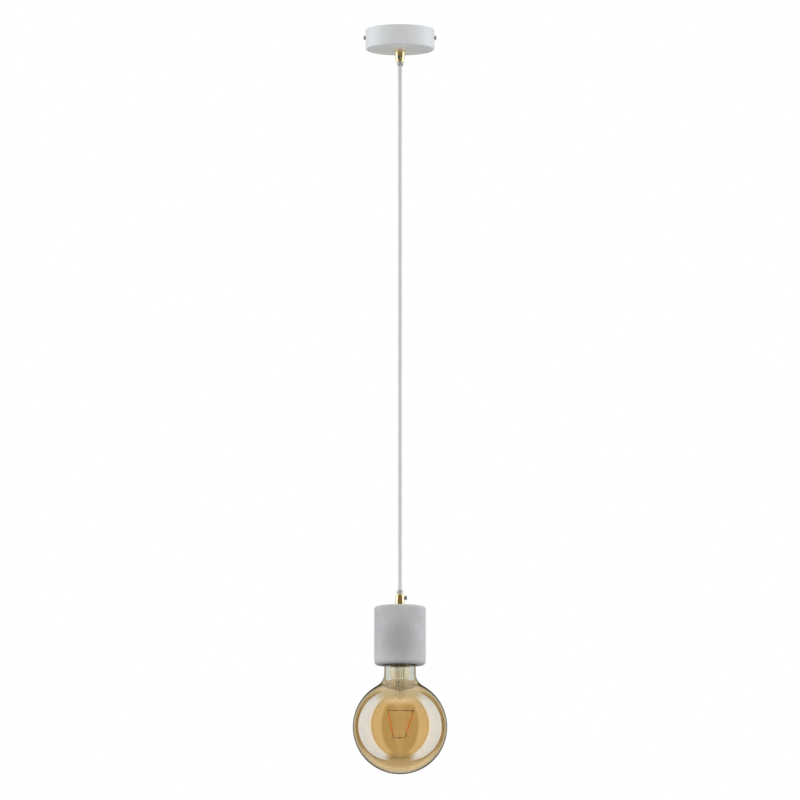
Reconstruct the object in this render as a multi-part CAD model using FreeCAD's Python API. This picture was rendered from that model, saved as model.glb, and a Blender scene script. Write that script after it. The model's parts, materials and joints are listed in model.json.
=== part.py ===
"""Pendant ceiling light: canopy, textile cord, cast concrete lamp housing and a globe filament bulb.

Millimetres, +Z up. The origin is the centre of the ceiling plane that the canopy is fixed to, so
everything hangs below z = 0. Each separate piece of the real light is written to its own STEP file.
"""
import FreeCAD
import Part
import math
import os

Vec = FreeCAD.Vector
UP = Vec(0, 0, 1)

# --- driving dimensions ---------------------------------------------------------------------------
GAP = 0.3                      # room between pieces that move past each other
FIT = 0.05                     # radial room of a turning fit

# canopy
CANOPY_R = 46.0
CANOPY_H = 27.0
CANOPY_WALL = 1.2
CANOPY_EDGE_R = 2.2
SIDE_SCREW_Z = -10.5
SIDE_SCREW_R = 2.0             # M4
SIDE_HEAD_R = 3.0
SIDE_HEAD_H = 2.4

# ceiling bracket
STRAP_T = 1.5
STRAP_W = 18.0
EAR_W = 12.0
EAR_DROP = 16.0
EAR_X = 43.8                   # outer face of each bent-down ear
SLOT_SPACING = 60.0
SLOT_LENGTH = 10.0             # end to end
SLOT_R = 2.6
TAB_W = 26.0
TAB_Y = 31.0
WIRE_HOLE_R = 6.0
EARTH_X = -16.0                # the earth screw, on the strap
EARTH_SCREW_R = 2.0
EARTH_WASHER_T = 0.8

# terminal block on the bracket's tab: two poles along Y, each with a screw at both ends
BLOCK_X, BLOCK_Y0, BLOCK_Y1 = 10.0, 12.0, 28.0
BLOCK_H = 12.0
BLOCK_SCREW_R = 1.5
BLOCK_SCREW_SINK = 4.0         # depth of its head below the block's face
POLE_X = 5.0
POLE_DROP = 5.5                # a pole's centre below the strap
POLE_R = 2.4
CLAMP_FROM_END = 3.5           # a clamping screw's distance from the block's end
CLAMP_R = 1.2
BLOCK_MID_Y = (BLOCK_Y0 + BLOCK_Y1) / 2
BLOCK_LOW_Z = -STRAP_T - BLOCK_H
POLE_Z = -STRAP_T - POLE_DROP
CLAMP_YS = (BLOCK_Y0 + CLAMP_FROM_END, BLOCK_Y1 - CLAMP_FROM_END)

# cord and its grips
CORD_R = 2.65
CORE_R = 0.95                  # each insulated core inside it
NIPPLE_R = 5.0                 # M10
NIPPLE_BORE_R = 3.0
GRIP_BASE_R = 6.6
GRIP_H = 16.4
GRIP_TOP_R = 4.6
COLLET_R = 3.95
COLLET_OUT = 5.2               # how far the collet stands out of the grip
SET_SCREW_H = 11.5             # height of the set screw above the grip's base
SET_SCREW_R = 1.5              # M3
SET_HEAD_R = 2.7
SET_HEAD_L = 2.8
CANOPY_SCREW_TURN = -97.0      # the canopy grip's set screw faces the front, a little to the left
COLLET_END_Z = -CANOPY_H - GRIP_H - COLLET_OUT
CORD_TAIL_TOP_Z = -18.0
CORD_LOW_Z = -800.5
SWING_Y_Z = COLLET_END_Z - CORD_R - GAP       # first swing axis, along Y
SWING_X_Z = SWING_Y_Z - 16.0                  # second swing axis, along X
NUT_T = 3.5
LOCK_WASHER_T = 0.8
HOUSING_WASHER_T = 1.2

# concrete housing
HOUSING_TOP_Z = -775.0
HOUSING_H = 78.0
HOUSING_R = 34.25
HOUSING_BORE_R = 22.5
HOUSING_TOP_WALL = 14.0
HOUSING_TOP_EDGE_R = 4.2
HOUSING_LOW_EDGE_R = 4.8
# pinholes in the side: angle from +X in degrees, height below the top, radius
SIDE_PINHOLES = [
    (-71, 30, 0.75), (-97, 58, 0.6), (-86, 58, 0.55), (-32, 17, 0.5), (-140, 41, 0.6), (-118, 12, 0.45),
    (-52, 66, 0.5), (12, 36, 0.7), (40, 61, 0.5), (63, 22, 0.6), (88, 47, 0.8), (109, 68, 0.5),
    (131, 15, 0.55), (158, 52, 0.65), (176, 27, 0.45), (-165, 63, 0.5), (24, 9, 0.5), (97, 33, 0.4),
    (-10, 55, 0.45), (-63, 45, 0.4),
]
# pinholes in the top and in the lower rim: angle, distance from the axis, radius
TOP_PINHOLES = [(-66, 27.0, 0.6), (20, 18.0, 0.5), (110, 24.0, 0.7), (200, 14.0, 0.5), (255, 20.0, 0.45),
                (330, 25.0, 0.5)]
RIM_PINHOLES = [(-80, 26.5, 0.6), (-20, 25.5, 0.5), (60, 27.0, 0.55), (150, 26.0, 0.6), (220, 27.5, 0.45)]

# lampholder
HOLDER_R = 20.0
HOLDER_WALL = 2.0
HOLDER_TOP_Z = -800.0
HOLDER_JOIN_Z = -818.0
HOLDER_RIM_Z = -843.3
INSERT_R = 16.5
INSERT_TOP_Z = -808.0
INSERT_LOW_Z = -841.0
CAVITY_TOP_Z = -816.0
CAVITY_R = 14.1
SLEEVE_TOP_Z = -824.2
FLANGE_R = 15.5
CONTACT_X = 10.0               # the contact screws, left and right
CONTACT_OUT_X = 13.4           # outer face of each contact strip
STRIP_T = 0.5
STRIP_W = 5.0

# Edison screw, 27 mm: a rounded thread whose level section is a circle a little off the axis
THREAD_PITCH = 3.629
THREAD_R = 12.67               # radius of the level section
THREAD_OFF = 0.535             # its distance from the axis, half the thread's depth
THREAD_CLEAR = 0.28
THREAD_SECTIONS = 8            # level sections in each turn
SHEET_T = 0.35                 # thickness of both screw shells
CAP_SKIRT_R = 13.25
CAP_LOW_Z = -845.3
CAP_THREAD_Z0, CAP_THREAD_Z1 = -841.3, -823.5
EYELET_TOP_Z = -818.8

# bulb glass
GLOBE_R = 62.5
GLOBE_Z = -935.3
NECK_R = 20.85
NECK_FILLET_R = 19.5
GLASS_T = 0.8

# inside the glass
STEM_R = 5.55
STEM_CONE_Z = GLOBE_Z + 42.0   # where the stem starts to close
PINCH_TOP, PINCH_LOW = GLOBE_Z + 36.4, GLOBE_Z + 30.8
EXHAUST_LOW = GLOBE_Z + 54.0
WIRE_Z = GLOBE_Z + 21.7        # the wire that both filaments hang from
HUB_Z = GLOBE_Z - 13.7
ROD_R = 1.65
ROD_LEAN = 0.6                 # how far the support rod's foot leans to -X
ROD_FOOT, ROD_HEAD = (-ROD_LEAN, 0, HUB_Z), (0, 0, PINCH_LOW + 2)
LEFT_TOP, RIGHT_TOP = (-16.3, 0, WIRE_Z + 0.4), (17.9, 0, WIRE_Z)
LEFT_FOOT, RIGHT_FOOT = (-9.1, 0, HUB_Z + 0.8), (7.2, 0, HUB_Z + 0.5)
BOARD_LOW_Z = -837.0


# --- helpers --------------------------------------------------------------------------------------
def turned(start, *steps):
    """Solid of revolution about Z from a closed (r, z) outline. A step of two numbers is a straight
    edge to (r, z), and one of four is an arc through (r, z) to (r, z)."""
    def at(r, z):
        return Vec(r, 0, z)

    edges, here = [], at(*start)
    for step in steps:
        if len(step) == 2:
            there = at(*step)
            edges.append(Part.LineSegment(here, there).toShape())
        else:
            there = at(*step[2:])
            edges.append(Part.Arc(here, at(*step[:2]), there).toShape())
        here = there
    if here.distanceToPoint(at(*start)) > 1e-6:
        edges.append(Part.LineSegment(here, at(*start)).toShape())
    return Part.Face(Part.Wire(edges)).revolve(Vec(0, 0, 0), UP, 360)


def rod(r, start, end):
    """Cylinder of radius r between two points."""
    start, end = Vec(*start), Vec(*end)
    return Part.makeCylinder(r, start.distanceToPoint(end), start, end - start)


def box(low, high):
    size = [b - a for a, b in zip(low, high)]
    return Part.makeBox(*size, Vec(*low))


def tube(r, points):
    """Round bar of radius r along straight runs joined by the largest tangent arcs they allow."""
    points = [Vec(*p) for p in points]
    edges, here, radii = [], points[0], []
    for before, corner, after in zip(points, points[1:], points[2:]):
        back, on = (before - corner), (after - corner)
        run = min(back.Length, on.Length)
        back.normalize()
        on.normalize()
        turn = math.pi - back.getAngle(on)
        cut = 0.45 * run
        radii.append(cut / math.tan(turn / 2))
        enter, leave = corner + back * cut, corner + on * cut
        middle = back + on
        middle.normalize()
        reach = radii[-1] / math.cos(turn / 2) - radii[-1]
        edges.append(Part.LineSegment(here, enter).toShape())
        edges.append(Part.Arc(enter, corner + middle * reach, leave).toShape())
        here = leave
    edges.append(Part.LineSegment(here, points[-1]).toShape())
    print(f"tube r {r}: bend radii {[round(x, 1) for x in radii]}")
    section = Part.Wire(Part.makeCircle(r, points[0], points[1] - points[0]))
    return Part.Wire(edges).makePipeShell([section], True, True)


def hex_prism(across_flats, z0, z1):
    corner = across_flats / math.sqrt(3)
    points = [Vec(corner * math.cos(math.radians(60 * i)), corner * math.sin(math.radians(60 * i)), z0)
              for i in range(7)]
    return Part.Face(Part.makePolygon(points)).extrude(Vec(0, 0, z1 - z0))


def thread_centre(z):
    """Centre of the Edison thread's round level section at height z: a right-hand screw."""
    turn = 2 * math.pi * z / THREAD_PITCH
    return Vec(THREAD_OFF * math.cos(turn), THREAD_OFF * math.sin(turn), z)


def thread_body(r, z0, z1):
    """Solid whose level section is a circle of radius r that follows the thread from z0 to z1. Every
    threaded piece has its sections at the same heights, so the walls between them are even."""
    step = THREAD_PITCH / THREAD_SECTIONS
    first, last = math.floor(z0 / step) + 1, math.ceil(z1 / step) - 1
    heights = [z0] + [step * i for i in range(first, last + 1)] + [z1]
    heights = [z for z, after in zip(heights, heights[1:]) if after - z > 0.02] + [z1]
    rings = [Part.Wire(Part.makeCircle(r, thread_centre(z), UP)) for z in heights]
    return Part.makeLoft(rings, True, True)


def disc_at(r, centre, thickness):
    return Part.makeCylinder(r, thickness, centre, UP)


def saved(name, shape):
    """Writes one node as a STEP file, once it is known to be sound."""
    volume = shape.Volume
    if not shape.isValid() or volume <= 0:
        raise ValueError(f"{name} is not a valid solid")
    shape.exportStep(f"parts/{name}.step")
    print(f"{name}: {len(shape.Solids)} solid(s), {volume:.1f} mm3")


# --- canopy ---------------------------------------------------------------------------------------
def canopy_cup():
    out, inner, low = CANOPY_R, CANOPY_R - CANOPY_WALL, -CANOPY_H
    edge, inside = CANOPY_EDGE_R, CANOPY_EDGE_R - CANOPY_WALL
    slope = math.sqrt(0.5)
    cup = turned(
        (NIPPLE_R + 0.2, low), (out - edge, low),
        (out - edge + edge * slope, low + edge - edge * slope, out, low + edge),
        (out, 0), (inner, 0), (inner, low + edge),
        (inner - inside + inside * slope, low + edge - inside * slope, inner - inside,
         low + CANOPY_WALL),
        (NIPPLE_R + 0.2, low + CANOPY_WALL),
    )
    holes = rod(SIDE_SCREW_R + 0.35, (-out - 1, 0, SIDE_SCREW_Z), (out + 1, 0, SIDE_SCREW_Z))
    return cup.cut(holes)


def slot(x, width_r, length, z0, z1):
    """Straight round-ended slot along X."""
    half = length / 2 - width_r
    body = box((x - half, -width_r, z0), (x + half, width_r, z1))
    ends = [rod(width_r, (x + s * half, 0, z0), (x + s * half, 0, z1)) for s in (-1, 1)]
    return body.multiFuse(ends)


def ceiling_bracket():
    """Flat strap against the ceiling, with an ear bent down at each end and a tab for the terminals."""
    bend = STRAP_T * 1.6
    inner = bend - STRAP_T
    slope = math.sqrt(0.5)

    def half(side):
        def at(x, z):
            return Vec(side * x, -EAR_W / 2, z)
        start = EAR_X - bend
        edges = [
            Part.LineSegment(at(start - 4, 0), at(start, 0)).toShape(),
            Part.Arc(at(start, 0), at(start + bend * slope, -bend + bend * slope),
                     at(EAR_X, -bend)).toShape(),
            Part.LineSegment(at(EAR_X, -bend), at(EAR_X, -EAR_DROP)).toShape(),
            Part.LineSegment(at(EAR_X, -EAR_DROP), at(EAR_X - STRAP_T, -EAR_DROP)).toShape(),
            Part.LineSegment(at(EAR_X - STRAP_T, -EAR_DROP), at(EAR_X - STRAP_T, -bend)).toShape(),
            Part.Arc(at(EAR_X - STRAP_T, -bend),
                     at(start + inner * slope, -bend + inner * slope),
                     at(start, -STRAP_T)).toShape(),
            Part.LineSegment(at(start, -STRAP_T), at(start - 4, -STRAP_T)).toShape(),
            Part.LineSegment(at(start - 4, -STRAP_T), at(start - 4, 0)).toShape(),
        ]
        return Part.Face(Part.Wire(edges)).extrude(Vec(0, EAR_W, 0))

    flat_end = EAR_X - bend - 3
    strap = box((-flat_end, -STRAP_W / 2, -STRAP_T), (flat_end, STRAP_W / 2, 0))
    tab = box((-TAB_W / 2, 0, -STRAP_T), (TAB_W / 2, TAB_Y, 0))
    body = strap.multiFuse([tab, half(1), half(-1)]).removeSplitter()
    upright = [e for e in body.Edges if len(e.Vertexes) == 2
               and abs(abs(e.tangentAt(e.FirstParameter).z) - 1) < 1e-6
               and abs(e.Length - STRAP_T) < 1e-6
               and (abs(e.Vertexes[0].Y) > STRAP_W / 2 - 0.1 and abs(e.Vertexes[0].X) > flat_end - 1
                    or e.Vertexes[0].Y > TAB_Y - 1)]
    body = body.makeFillet(2.5, upright)
    for side in (-1, 1):
        body = body.cut(slot(side * SLOT_SPACING / 2, SLOT_R, SLOT_LENGTH, -STRAP_T - 1, 1))
    wire_hole = rod(WIRE_HOLE_R, (0, 0, -STRAP_T - 1), (0, 0, 1))
    earth_hole = rod(EARTH_SCREW_R, (EARTH_X, 0, -STRAP_T - 1), (EARTH_X, 0, 1))
    block_hole = rod(BLOCK_SCREW_R, (0, BLOCK_MID_Y, -STRAP_T - 1), (0, BLOCK_MID_Y, 1))
    ears = rod(SIDE_SCREW_R + FIT, (-CANOPY_R, 0, SIDE_SCREW_Z), (CANOPY_R, 0, SIDE_SCREW_Z))
    return body.cut(wire_hole.multiFuse([earth_hole, block_hole, ears]))


def side_screw(side):
    """Slotted pan-head screw through the cup's wall into the bracket's ear, pointing inward."""
    head, low = SIDE_HEAD_R, CANOPY_R + GAP
    top = low + SIDE_HEAD_H
    body = turned((0, EAR_X - 5), (SIDE_SCREW_R, EAR_X - 5), (SIDE_SCREW_R, low), (head, low),
                  (head, top - 0.9), (head - 0.25, top - 0.28, head - 0.9, top), (0, top))
    body = body.cut(box((-head, -0.45, top - 1.0), (head, 0.45, top + 1)))
    body.rotate(Vec(0, 0, 0), Vec(0, 1, 0), 90 * side)
    body.translate(Vec(0, 0, SIDE_SCREW_Z))
    return body


def terminal_block():
    top, low, mid = -STRAP_T, BLOCK_LOW_Z, BLOCK_MID_Y
    body = box((-BLOCK_X, BLOCK_Y0, low), (BLOCK_X, BLOCK_Y1, top))
    body = body.makeFillet(1.0, [e for e in body.Edges
                                 if abs(e.BoundBox.ZMin - low) < 1e-6 or e.BoundBox.ZLength > 1])
    notch = box((-0.8, BLOCK_Y0 - 1, low - 1), (0.8, BLOCK_Y0 + 4, top - 3))
    cuts = [notch, notch.mirror(Vec(0, mid, 0), Vec(0, 1, 0)),
            rod(BLOCK_SCREW_R + 0.1, (0, mid, low - 1), (0, mid, top + 1)),
            rod(3.0, (0, mid, low - 1), (0, mid, low + BLOCK_SCREW_SINK))]
    for x in (-POLE_X, POLE_X):
        cuts.append(rod(POLE_R, (x, BLOCK_Y0 - 1, POLE_Z), (x, BLOCK_Y1 + 1, POLE_Z)))
        cuts += [rod(1.9, (x, y, low - 1), (x, y, POLE_Z)) for y in CLAMP_YS]
    return body.cut(cuts[0].multiFuse(cuts[1:]))


def terminal_tubes():
    tubes = []
    for x in (-POLE_X, POLE_X):
        body = rod(POLE_R, (x, BLOCK_Y0 + 1, POLE_Z), (x, BLOCK_Y1 - 1, POLE_Z))
        body = body.cut(rod(1.5, (x, BLOCK_Y0, POLE_Z), (x, BLOCK_Y1, POLE_Z)))
        for y in CLAMP_YS:
            body = body.cut(rod(CLAMP_R, (x, y, POLE_Z - 3), (x, y, POLE_Z)))
        tubes.append(body)
    return Part.makeCompound(tubes)


def small_screw(r, head_r, head_h, length, slot_w):
    """Slotted cheese-head screw along +Z, its head's underside at z = 0 and its shank above."""
    body = turned((0, -head_h), (head_r - 0.3, -head_h), (head_r, -head_h + 0.3), (head_r, 0), (r, 0),
                  (r, length), (0, length))
    return body.cut(box((-head_r, -slot_w / 2, -head_h - 1), (head_r, slot_w / 2, -head_h * 0.5)))


def placed(shape, x, y, z):
    out = shape.copy()
    out.translate(Vec(x, y, z))
    return out


def terminal_screws():
    screw = small_screw(CLAMP_R, 1.7, 1.2, 2.85, 0.5)
    return Part.makeCompound([placed(screw, x, y, BLOCK_LOW_Z + 2.6)
                              for x in (-POLE_X, POLE_X) for y in CLAMP_YS])


def terminal_block_screw():
    screw = small_screw(BLOCK_SCREW_R, 2.8, 1.8, 9.2, 0.7)
    return placed(screw, 0, BLOCK_MID_Y, BLOCK_LOW_Z + BLOCK_SCREW_SINK)


def earth_screw():
    screw = small_screw(EARTH_SCREW_R, 3.6, 2.4, 2.1, 0.9)
    return placed(screw, EARTH_X, 0, -STRAP_T - EARTH_WASHER_T)


def earth_washer():
    return placed(washer(EARTH_SCREW_R + 0.1, 4.2, -EARTH_WASHER_T, 0), EARTH_X, 0, -STRAP_T)


def canopy_wires():
    """Live, neutral and earth cores from the end of the cord's sheath to their terminals."""
    z_end, tag_z = CORD_TAIL_TOP_Z, -STRAP_T - 1.9
    wires = {}
    for name, side in (("canopy_live_wire", 1), ("canopy_neutral_wire", -1)):
        wires[name] = tube(CORE_R, [(side * 1.2, 0.7, z_end), (side * 1.2, 0.7, z_end + 4),
                                    (side * 4.0, 4.5, z_end + 9), (side * POLE_X, 9.5, POLE_Z),
                                    (side * POLE_X, 18.0, POLE_Z)])
    wires["canopy_earth_wire"] = tube(CORE_R, [
        (0, -1.4, z_end), (0, -1.4, z_end + 4), (-3.6, -3.2, z_end + 9),
        (EARTH_X + 8.0, -1.8, tag_z), (EARTH_X + 3.8, -0.8, tag_z)])
    return wires


# --- cord grips, the same part at both ends -------------------------------------------------------
def grip(nipple_length):
    """Brass cord grip standing on z = 0, with its M10 nipple below and a set-screw hole along +X."""
    side = Part.BSplineCurve()
    side.interpolate([Vec(GRIP_BASE_R, 0, 0.8), Vec(6.42, 0, 6.5), Vec(5.98, 0, 11.5),
                      Vec(5.55, 0, 14.9)])
    top = Part.Arc(Vec(5.55, 0, 14.9), Vec(5.16, 0, 16.05), Vec(GRIP_TOP_R, 0, GRIP_H))
    corners = [Vec(GRIP_TOP_R, 0, GRIP_H), Vec(COLLET_R, 0, GRIP_H), Vec(COLLET_R, 0, 5.0),
               Vec(NIPPLE_BORE_R, 0, 3.4), Vec(NIPPLE_BORE_R, 0, -nipple_length),
               Vec(NIPPLE_R - 0.5, 0, -nipple_length), Vec(NIPPLE_R, 0, 0.5 - nipple_length),
               Vec(NIPPLE_R, 0, 0), Vec(GRIP_BASE_R, 0, 0), Vec(GRIP_BASE_R, 0, 0.8)]
    edges = [side.toShape(), top.toShape()]
    edges += [Part.LineSegment(a, b).toShape() for a, b in zip(corners, corners[1:])]
    body = Part.Face(Part.Wire(edges)).revolve(Vec(0, 0, 0), UP, 360)
    return body.cut(rod(SET_SCREW_R + FIT, (2, 0, SET_SCREW_H), (9, 0, SET_SCREW_H)))


def collet():
    """Clear collet that stands out of the grip in four springy fingers round the cord."""
    top, low, foot = GRIP_H + COLLET_OUT, 5.1, GRIP_H - 3.0
    body = turned((CORD_R, low), (COLLET_R, low), (COLLET_R, GRIP_H + 0.3),
                  (4.12, GRIP_H + 1.4), (4.0, top - 0.5), (3.7, top), (CORD_R + 0.25, top),
                  (CORD_R + 0.25, foot), (CORD_R, foot - 0.5))
    slits = [box((-5, -0.3, foot), (5, 0.3, top + 1)), box((-0.3, -5, foot), (0.3, 5, top + 1))]
    for cutter in slits:
        cutter.rotate(Vec(0, 0, 0), UP, 25)
        body = body.cut(cutter)
    return body


def set_screw():
    """Knurled thumb screw along +X, its tip just clear of the collet."""
    tip, seat = COLLET_R + GAP, 6.5
    end = seat + SET_HEAD_L
    body = turned((0, tip), (SET_SCREW_R, tip), (SET_SCREW_R, seat), (SET_HEAD_R - 0.3, seat),
                  (SET_HEAD_R, seat + 0.3), (SET_HEAD_R, end - 0.35), (SET_HEAD_R - 0.35, end), (0, end))
    flutes = [rod(0.28, (SET_HEAD_R * math.cos(a), SET_HEAD_R * math.sin(a), seat - 0.5),
                  (SET_HEAD_R * math.cos(a), SET_HEAD_R * math.sin(a), end + 0.5))
              for a in (2 * math.pi * i / 18 for i in range(18))]
    body = body.cut(flutes[0].multiFuse(flutes[1:]))
    body = body.cut(box((-3, -0.4, end - 0.9), (3, 0.4, end + 1)))
    body.rotate(Vec(0, 0, 0), Vec(0, 1, 0), 90)
    body.translate(Vec(0, 0, SET_SCREW_H))
    return body


def hung_from(shape, turn, z):
    """The same piece upside down with its base at height z, its +X side turned about Z."""
    out = shape.copy()
    out.rotate(Vec(0, 0, 0), Vec(1, 0, 0), 180)
    out.rotate(Vec(0, 0, 0), UP, turn)
    out.translate(Vec(0, 0, z))
    return out


# --- cord -----------------------------------------------------------------------------------------
def round_topped(z_axis, z_low):
    """Cord with a half ball round a swing axis at its top."""
    return rod(CORD_R, (0, 0, z_low), (0, 0, z_axis)).fuse(Part.makeSphere(CORD_R, Vec(0, 0, z_axis)))


def cord_pieces():
    return {
        "cord_canopy_end": rod(CORD_R, (0, 0, COLLET_END_Z), (0, 0, CORD_TAIL_TOP_Z)),
        "cord_link": round_topped(SWING_Y_Z, SWING_X_Z + CORD_R + GAP),
        "cord_drop": round_topped(SWING_X_Z, CORD_LOW_Z),
    }


# --- lamp housing ---------------------------------------------------------------------------------
def concrete_housing():
    """Thick-walled cast cylinder, bored from below, with the pinholes that air leaves in a casting."""
    out, bore, top = HOUSING_R, HOUSING_BORE_R, HOUSING_TOP_Z
    low, ceiling = top - HOUSING_H, top - HOUSING_TOP_WALL
    up, down = HOUSING_TOP_EDGE_R, HOUSING_LOW_EDGE_R
    slope = math.sqrt(0.5)
    body = turned(
        (NIPPLE_R + 0.2, top), (out - up, top),
        (out - up + up * slope, top - up + up * slope, out, top - up), (out, low + down),
        (out - down + down * slope, low + down - down * slope, out - down, low),
        (bore + 1.0, low), (bore, low + 1.0), (bore, ceiling - 1.5),
        (bore - 0.44, ceiling - 0.44, bore - 1.5, ceiling), (NIPPLE_R + 0.2, ceiling),
    )
    dents = []
    for angle, reach, z, r in [(a, out, top - drop, r) for a, drop, r in SIDE_PINHOLES] \
            + [(a, reach, top, r) for a, reach, r in TOP_PINHOLES] \
            + [(a, reach, low, r) for a, reach, r in RIM_PINHOLES]:
        a = math.radians(angle)
        dents.append(Part.makeSphere(r, Vec(reach * math.cos(a), reach * math.sin(a), z)))
    return body.cut(dents[0].multiFuse(dents[1:]))


def washer(inner, outer, z0, z1):
    return turned((inner, z0), (outer, z0), (outer, z1), (inner, z1))


def toothed_washer(z0, z1):
    body = washer(NIPPLE_R + 0.1, 9.0, z0, z1)
    notches = [rod(0.8, (9.0 * math.cos(a), 9.0 * math.sin(a), z0 - 1),
                   (9.0 * math.cos(a), 9.0 * math.sin(a), z1 + 1))
               for a in (2 * math.pi * i / 12 for i in range(12))]
    return body.cut(notches[0].multiFuse(notches[1:]))


def nut(z0, z1):
    body = hex_prism(14.0, z0, z1).cut(rod(NIPPLE_R, (0, 0, z0 - 1), (0, 0, z1 + 1)))
    crown = turned((0, z0), (7.2, z0), (8.2, z0 + 0.6), (8.2, z1 - 0.6), (7.2, z1), (0, z1))
    return body.common(crown)


# --- lampholder -----------------------------------------------------------------------------------
def holder_cap():
    out, inner = HOLDER_R, HOLDER_R - HOLDER_WALL
    neck_top, plate = HOLDER_TOP_Z + 5.5, HOLDER_TOP_Z - 2.5
    return turned((NIPPLE_R, neck_top), (8.0, neck_top), (8.0, HOLDER_TOP_Z + 1.0),
                  (8.3, HOLDER_TOP_Z + 0.3, 9.0, HOLDER_TOP_Z), (out - 3.0, HOLDER_TOP_Z),
                  (out - 0.88, HOLDER_TOP_Z - 0.88, out, HOLDER_TOP_Z - 3.0), (out, HOLDER_JOIN_Z),
                  (inner, HOLDER_JOIN_Z), (inner, plate), (NIPPLE_R, plate))


def holder_shell():
    """Skirt that screws into the cap and holds the insert up by a lip at its rim."""
    inner, joint_r, count = INSERT_R + 0.2, HOLDER_R - HOLDER_WALL - 0.1, 24
    body = turned((inner, HOLDER_JOIN_Z + 6), (joint_r, HOLDER_JOIN_Z + 6), (joint_r, HOLDER_JOIN_Z),
                  (HOLDER_R, HOLDER_JOIN_Z), (HOLDER_R, HOLDER_RIM_Z + 1), (HOLDER_R - 1, HOLDER_RIM_Z),
                  (14.4, HOLDER_RIM_Z), (14.2, HOLDER_RIM_Z + 0.4), (14.2, INSERT_LOW_Z - SHEET_T),
                  (inner, INSERT_LOW_Z - SHEET_T))
    groove = box((HOLDER_R - 0.35, -0.6, HOLDER_RIM_Z + 3), (HOLDER_R + 1, 0.6, HOLDER_JOIN_Z - 2))
    grooves = [groove.copy() for _ in range(count)]
    for i, cutter in enumerate(grooves):
        cutter.rotate(Vec(0, 0, 0), UP, 360 / count * i)
    return body.cut(grooves[0].multiFuse(grooves[1:]))


def holder_insert():
    body = turned((0, INSERT_TOP_Z), (INSERT_R - 1, INSERT_TOP_Z), (INSERT_R, INSERT_TOP_Z - 1),
                  (INSERT_R, INSERT_LOW_Z), (CAVITY_R, INSERT_LOW_Z), (CAVITY_R, CAVITY_TOP_Z),
                  (0, CAVITY_TOP_Z))
    groove = box((CONTACT_OUT_X - STRIP_T, -STRIP_W / 2, CAVITY_TOP_Z - 9),
                 (CONTACT_OUT_X, STRIP_W / 2, INSERT_TOP_Z + 1))
    cuts = [groove, groove.mirror(Vec(0, 0, 0), Vec(1, 0, 0))]
    cuts += [rod(CLAMP_R, (x, 0, CAVITY_TOP_Z + 2), (x, 0, INSERT_TOP_Z + 1))
             for x in (-CONTACT_X, CONTACT_X)]
    return body.cut(cuts[0].multiFuse(cuts[1:]))


def holder_thread_sleeve():
    """Threaded metal lining of the insert, with a flange under the insert's rim."""
    bore_r, z0, z1 = THREAD_R + THREAD_CLEAR, INSERT_LOW_Z, SLEEVE_TOP_Z
    low = z0 - SHEET_T
    body = thread_body(bore_r + SHEET_T, z0, z1)
    neck = disc_at(bore_r + SHEET_T + THREAD_OFF + 0.02, Vec(0, 0, z0), SHEET_T)
    flange = disc_at(FLANGE_R, Vec(0, 0, low), SHEET_T)
    body = body.multiFuse([neck, flange])
    body = body.cut(thread_body(bore_r, low - 0.5, z1 + 0.5))
    return body.cut(disc_at(CAP_SKIRT_R + 0.35, Vec(0, 0, low - 1.0), SHEET_T + 1.0))


def contact_strips():
    """Sprung centre contact above the bulb's eyelet, and the side contact on the threaded sleeve."""
    half, top, out = STRIP_W / 2, INSERT_TOP_Z + STRIP_T, CONTACT_OUT_X
    upright_in, bent_in = out - STRIP_T, 5.5
    spring_top = CAVITY_TOP_Z - STRIP_T
    centre = box((7.0, -half, INSERT_TOP_Z), (out, half, top))
    centre = centre.fuse(box((upright_in, -half, spring_top), (out, half, top)))
    centre = centre.fuse(box((bent_in, -half, spring_top), (out, half, CAVITY_TOP_Z)))
    pad_top = EYELET_TOP_Z + GAP + STRIP_T
    slope = Part.makePolygon([Vec(bent_in, -half, CAVITY_TOP_Z), Vec(2.0, -half, pad_top),
                              Vec(-2.5, -half, pad_top), Vec(-2.5, -half, pad_top - STRIP_T),
                              Vec(2.2, -half, pad_top - STRIP_T), Vec(bent_in + 0.2, -half, spring_top),
                              Vec(bent_in, -half, CAVITY_TOP_Z)])
    centre = centre.fuse(Part.Face(slope).extrude(Vec(0, STRIP_W, 0)))
    side = box((-out, -half, INSERT_TOP_Z), (-7.0, half, top))
    side = side.fuse(box((-out, -half, SLEEVE_TOP_Z), (-upright_in, half, top)))
    holes = [rod(1.25, (s * CONTACT_X, 0, INSERT_TOP_Z - 1), (s * CONTACT_X, 0, top + 1)) for s in (-1, 1)]
    return {"holder_centre_contact": centre.cut(holes[1]), "holder_side_contact": side.cut(holes[0])}


def holder_terminal_screws():
    screw = small_screw(CLAMP_R, 2.4, 1.6, 5.0, 0.6)
    screw.rotate(Vec(0, 0, 0), Vec(1, 0, 0), 180)
    return Part.makeCompound([placed(screw, s * CONTACT_X, 0, INSERT_TOP_Z + STRIP_T) for s in (-1, 1)])


def holder_wires():
    z = INSERT_TOP_Z + STRIP_T + CORE_R + 0.05
    return {name: tube(CORE_R, [(s * 1.2, 0, CORD_LOW_Z), (s * 1.2, 0, CORD_LOW_Z - 3.2),
                                (s * 3.4, s * 2.2, z), (s * 6.4, s * 4.0, z), (s * 9.6, s * 3.5, z)])
            for name, s in (("holder_live_wire", 1), ("holder_neutral_wire", -1))}


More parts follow.
